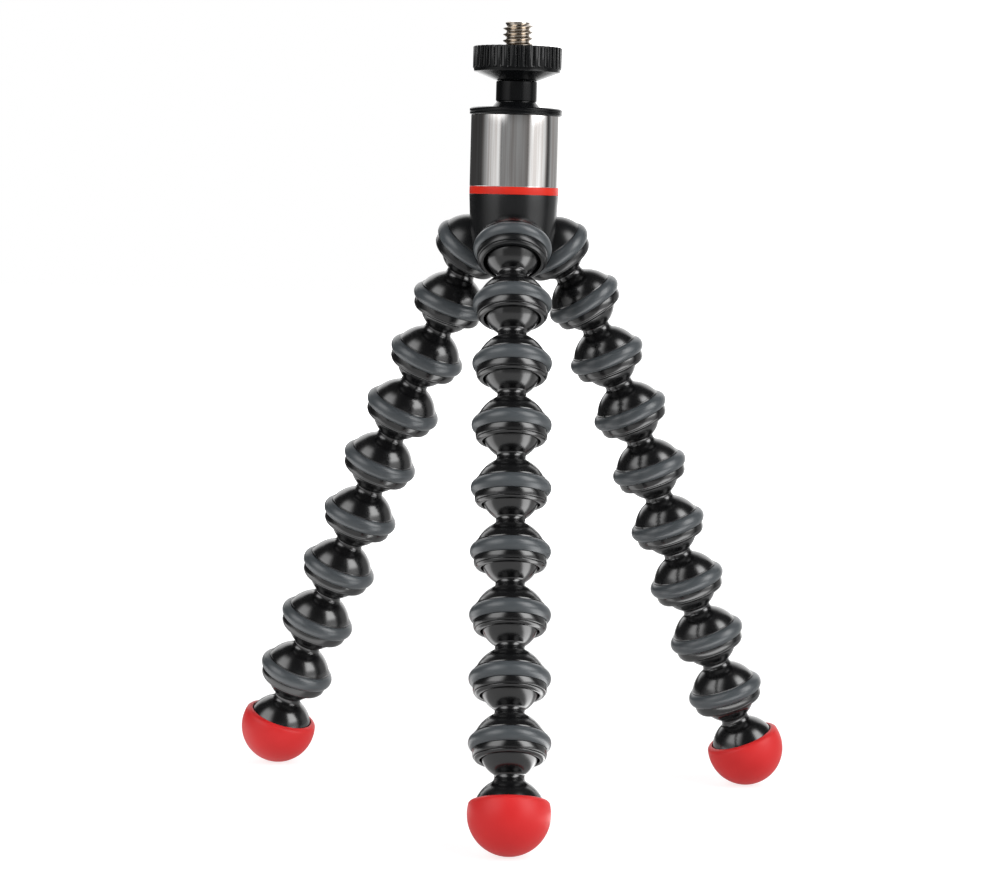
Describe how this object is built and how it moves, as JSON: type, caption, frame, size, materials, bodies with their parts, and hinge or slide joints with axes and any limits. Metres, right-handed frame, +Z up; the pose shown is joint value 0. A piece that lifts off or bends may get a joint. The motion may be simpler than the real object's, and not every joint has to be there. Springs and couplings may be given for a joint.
{
  "type": "flexible leg tripod",
  "caption": "Small camera tripod: a steel sleeved head with a camera screw and lock ring on flexible legs of ball and socket links with rubber grip rings and red rubber feet.",
  "frame": {"origin": "on the floor, under the middle of the box round the whole tripod", "axes": "+Z up along the camera screw, -Y towards the front leg, +X to the right"},
  "size_m": [0.1216, 0.1048, 0.1659],
  "materials": {
    "black_gloss": "moulded black plastic with a polished surface",
    "black_satin": "moulded black plastic with a satin surface",
    "ring_grey": "slate grey soft rubber",
    "cap_red": "red soft rubber",
    "accent_red": "orange red moulded plastic",
    "sleeve_steel": "brushed round the sleeve, bare",
    "screw_steel": "bright plated steel"
  },
  "bodies": {
    "head": {"body_housing": "black_satin", "socket_rings": "ring_grey", "steel_sleeve": "sleeve_steel", "accent_band": "accent_red", "camera_screw": "screw_steel"},
    "knob": {"lock_ring": "black_satin"},
    "front_leg_link_1": {"front_leg_link_1": "black_gloss", "front_leg_ring_1": "ring_grey"},
    "front_leg_link_2": {"front_leg_link_2": "black_gloss", "front_leg_ring_2": "ring_grey"},
    "front_leg_link_3": {"front_leg_link_3": "black_gloss", "front_leg_ring_3": "ring_grey"},
    "front_leg_link_4": {"front_leg_link_4": "black_gloss", "front_leg_ring_4": "ring_grey"},
    "front_leg_link_5": {"front_leg_link_5": "black_gloss", "front_leg_ring_5": "ring_grey"},
    "front_leg_link_6": {"front_leg_link_6": "black_gloss", "front_leg_ring_6": "ring_grey"},
    "front_leg_link_7": {"front_leg_link_7": "black_gloss", "front_leg_ring_7": "ring_grey"},
    "front_leg_link_8": {"front_leg_link_8": "black_gloss", "front_leg_ring_8": "ring_grey"},
    "front_leg_foot": {"front_leg_foot_core": "black_gloss", "front_leg_foot_cap": "cap_red"},
    "left_leg_link_1": {"left_leg_link_1": "black_gloss", "left_leg_ring_1": "ring_grey"},
    "left_leg_link_2": {"left_leg_link_2": "black_gloss", "left_leg_ring_2": "ring_grey"},
    "left_leg_link_3": {"left_leg_link_3": "black_gloss", "left_leg_ring_3": "ring_grey"},
    "left_leg_link_4": {"left_leg_link_4": "black_gloss", "left_leg_ring_4": "ring_grey"},
    "left_leg_link_5": {"left_leg_link_5": "black_gloss", "left_leg_ring_5": "ring_grey"},
    "left_leg_link_6": {"left_leg_link_6": "black_gloss", "left_leg_ring_6": "ring_grey"},
    "left_leg_link_7": {"left_leg_link_7": "black_gloss", "left_leg_ring_7": "ring_grey"},
    "left_leg_link_8": {"left_leg_link_8": "black_gloss", "left_leg_ring_8": "ring_grey"},
    "left_leg_foot": {"left_leg_foot_core": "black_gloss", "left_leg_foot_cap": "cap_red"},
    "right_leg_link_1": {"right_leg_link_1": "black_gloss", "right_leg_ring_1": "ring_grey"},
    "right_leg_link_2": {"right_leg_link_2": "black_gloss", "right_leg_ring_2": "ring_grey"},
    "right_leg_link_3": {"right_leg_link_3": "black_gloss", "right_leg_ring_3": "ring_grey"},
    "right_leg_link_4": {"right_leg_link_4": "black_gloss", "right_leg_ring_4": "ring_grey"},
    "right_leg_link_5": {"right_leg_link_5": "black_gloss", "right_leg_ring_5": "ring_grey"},
    "right_leg_link_6": {"right_leg_link_6": "black_gloss", "right_leg_ring_6": "ring_grey"},
    "right_leg_link_7": {"right_leg_link_7": "black_gloss", "right_leg_ring_7": "ring_grey"},
    "right_leg_link_8": {"right_leg_link_8": "black_gloss", "right_leg_ring_8": "ring_grey"},
    "right_leg_foot": {"right_leg_foot_core": "black_gloss", "right_leg_foot_cap": "cap_red"}
  },
  "joints": [
    {"name": "knob_turn", "type": "hinge", "parent": "head", "child": "knob", "pos_m": [-0.00229, 0.01413, 0.15612], "axis": [0, 0, 1], "continuous": true},
    {"name": "front_leg_ball_1", "type": "hinge", "parent": "head", "child": "front_leg_link_1", "pos_m": [-0.00229, 0.00353, 0.11759], "axis": [-0.999, -0.0436, 0], "range_deg": [-23, 42]},
    {"name": "front_leg_ball_2", "type": "hinge", "parent": "front_leg_link_1", "child": "front_leg_link_2", "pos_m": [-0.00202, -0.00281, 0.1059], "axis": [0.0398, -0.9127, 0.4067], "range_deg": [-34, 34]},
    {"name": "front_leg_ball_3", "type": "hinge", "parent": "front_leg_link_2", "child": "front_leg_link_3", "pos_m": [-0.00178, -0.00822, 0.09374], "axis": [0.999, 0.0436, 0], "range_deg": [-37, 32]},
    {"name": "front_leg_ball_4", "type": "hinge", "parent": "front_leg_link_3", "child": "front_leg_link_4", "pos_m": [-0.00157, -0.01298, 0.08132], "axis": [-0.0411, 0.9417, -0.3338], "range_deg": [-34, 34]},
    {"name": "front_leg_ball_5", "type": "hinge", "parent": "front_leg_link_4", "child": "front_leg_link_5", "pos_m": [-0.00138, -0.01742, 0.06878], "axis": [-0.999, -0.0436, 0], "range_deg": [-36, 33]},
    {"name": "front_leg_ball_6", "type": "hinge", "parent": "front_leg_link_5", "child": "front_leg_link_6", "pos_m": [-0.00117, -0.02218, 0.05636], "axis": [0.0398, -0.9127, 0.4067], "range_deg": [-34, 34]},
    {"name": "front_leg_ball_7", "type": "hinge", "parent": "front_leg_link_6", "child": "front_leg_link_7", "pos_m": [-0.00093, -0.02759, 0.0442], "axis": [0.999, 0.0436, 0], "range_deg": [-32, 37]},
    {"name": "front_leg_ball_8", "type": "hinge", "parent": "front_leg_link_7", "child": "front_leg_link_8", "pos_m": [-0.00068, -0.03341, 0.03225], "axis": [-0.0389, 0.8902, -0.454], "range_deg": [-34, 34]},
    {"name": "front_leg_foot_ball", "type": "hinge", "parent": "front_leg_link_8", "child": "front_leg_foot", "pos_m": [-0.00042, -0.03945, 0.02039], "axis": [-0.999, -0.0436, 0], "range_deg": [-29, 41]},
    {"name": "left_leg_ball_1", "type": "hinge", "parent": "head", "child": "left_leg_link_1", "pos_m": [-0.01147, 0.01943, 0.11759], "axis": [0.515, 0.8572, 0], "range_deg": [-17, 48]},
    {"name": "left_leg_ball_2", "type": "hinge", "parent": "left_leg_link_1", "child": "left_leg_link_2", "pos_m": [-0.01576, 0.02201, 0.10526], "axis": [-0.7731, 0.4645, 0.4318], "range_deg": [-34, 34]},
    {"name": "left_leg_ball_3", "type": "hinge", "parent": "left_leg_link_2", "child": "left_leg_link_3", "pos_m": [-0.02068, 0.02497, 0.09326], "axis": [-0.515, -0.8572, 0], "range_deg": [-33, 36]},
    {"name": "left_leg_ball_4", "type": "hinge", "parent": "left_leg_link_3", "child": "left_leg_link_4", "pos_m": [-0.02579, 0.02803, 0.08136], "axis": [0.7763, -0.4665, -0.424], "range_deg": [-34, 34]},
    {"name": "left_leg_ball_5", "type": "hinge", "parent": "left_leg_link_4", "child": "left_leg_link_5", "pos_m": [-0.03062, 0.03094, 0.06931], "axis": [0.515, 0.8572, 0], "range_deg": [-31, 38]},
    {"name": "left_leg_ball_6", "type": "hinge", "parent": "left_leg_link_5", "child": "left_leg_link_6", "pos_m": [-0.03482, 0.03346, 0.05694], "axis": [-0.7825, 0.4702, 0.4081], "range_deg": [-34, 34]},
    {"name": "left_leg_ball_7", "type": "hinge", "parent": "left_leg_link_6", "child": "left_leg_link_7", "pos_m": [-0.03947, 0.03626, 0.04479], "axis": [-0.515, -0.8572, 0], "range_deg": [-34, 35]},
    {"name": "left_leg_ball_8", "type": "hinge", "parent": "left_leg_link_7", "child": "left_leg_link_8", "pos_m": [-0.04422, 0.03911, 0.0327], "axis": [0.7856, -0.472, -0.4001], "range_deg": [-34, 34]},
    {"name": "left_leg_foot_ball", "type": "hinge", "parent": "left_leg_link_8", "child": "left_leg_foot", "pos_m": [-0.04878, 0.04185, 0.0205], "axis": [0.515, 0.8572, 0], "range_deg": [-31, 39]},
    {"name": "right_leg_ball_1", "type": "hinge", "parent": "head", "child": "right_leg_link_1", "pos_m": [0.00689, 0.01943, 0.11759], "axis": [0.2672, -0.9636, 0], "range_deg": [-28, 35]},
    {"name": "right_leg_ball_2", "type": "hinge", "parent": "right_leg_link_1", "child": "right_leg_link_2", "pos_m": [0.01403, 0.02141, 0.10654], "axis": [0.8812, 0.2444, 0.4046], "range_deg": [-33, 33]},
    {"name": "right_leg_ball_3", "type": "hinge", "parent": "right_leg_link_2", "child": "right_leg_link_3", "pos_m": [0.01922, 0.02285, 0.09437], "axis": [-0.2672, 0.9636, 0], "range_deg": [-33, 36]},
    {"name": "right_leg_ball_4", "type": "hinge", "parent": "right_leg_link_3", "child": "right_leg_link_4", "pos_m": [0.02471, 0.02437, 0.08235], "axis": [-0.9004, -0.2497, -0.3562], "range_deg": [-34, 34]},
    {"name": "right_leg_ball_5", "type": "hinge", "parent": "right_leg_link_4", "child": "right_leg_link_5", "pos_m": [0.02928, 0.02564, 0.06992], "axis": [0.2672, -0.9636, 0], "range_deg": [-34, 35]},
    {"name": "right_leg_ball_6", "type": "hinge", "parent": "right_leg_link_5", "child": "right_leg_link_6", "pos_m": [0.03374, 0.02688, 0.05745], "axis": [0.8974, 0.2489, 0.3643], "range_deg": [-34, 34]},
    {"name": "right_leg_ball_7", "type": "hinge", "parent": "right_leg_link_6", "child": "right_leg_link_7", "pos_m": [0.03841, 0.02817, 0.04506], "axis": [-0.2672, 0.9636, 0], "range_deg": [-34, 36]},
    {"name": "right_leg_ball_8", "type": "hinge", "parent": "right_leg_link_7", "child": "right_leg_link_8", "pos_m": [0.04329, 0.02953, 0.03275], "axis": [-0.9004, -0.2497, -0.3562], "range_deg": [-34, 34]},
    {"name": "right_leg_foot_ball", "type": "hinge", "parent": "right_leg_link_8", "child": "right_leg_foot", "pos_m": [0.04785, 0.03079, 0.02032], "axis": [0.2672, -0.9636, 0], "range_deg": [-36, 33]}
  ]
}
